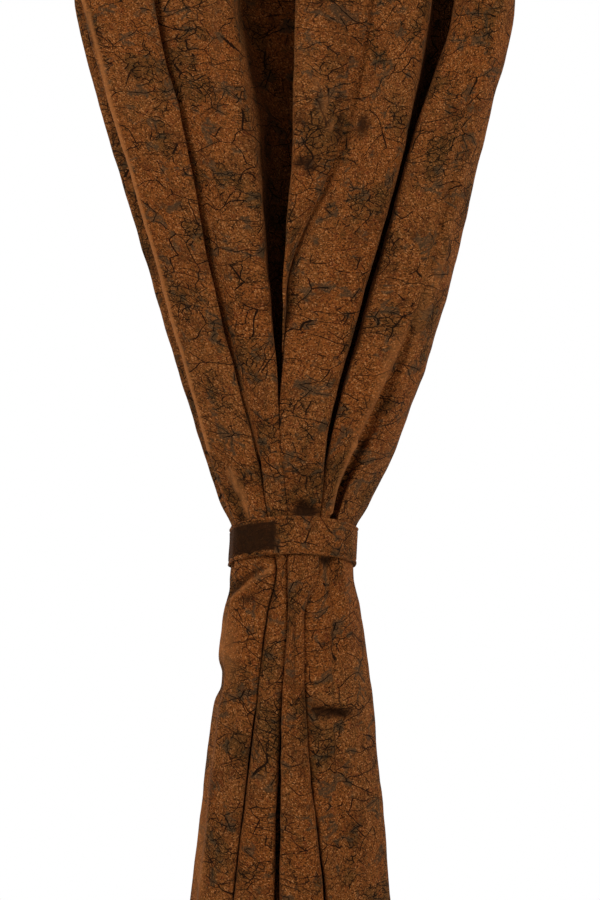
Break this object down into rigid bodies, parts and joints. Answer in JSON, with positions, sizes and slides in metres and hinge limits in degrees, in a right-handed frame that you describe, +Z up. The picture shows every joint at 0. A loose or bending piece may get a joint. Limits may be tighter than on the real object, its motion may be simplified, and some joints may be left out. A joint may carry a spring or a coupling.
{
  "type": "velvet drape with tieback",
  "caption": "Long velvet drape hanging in deep folds and drawn in at the waist by a fabric tieback band.",
  "frame": {"origin": "middle of the top edge of the hanging drape", "axes": "+Z up, the drape's face looks along -Y, +X to the right of the face"},
  "size_m": [0.6726, 0.1361, 2.1318],
  "materials": {
    "drape_velvet": "crushed velvet with a fine dark crackle",
    "band_velvet": "the same velvet, double, edge stitched"
  },
  "bodies": {
    "root": {"drape_panel": "drape_velvet", "tieback_band": "band_velvet"}
  },
  "joints": []
}
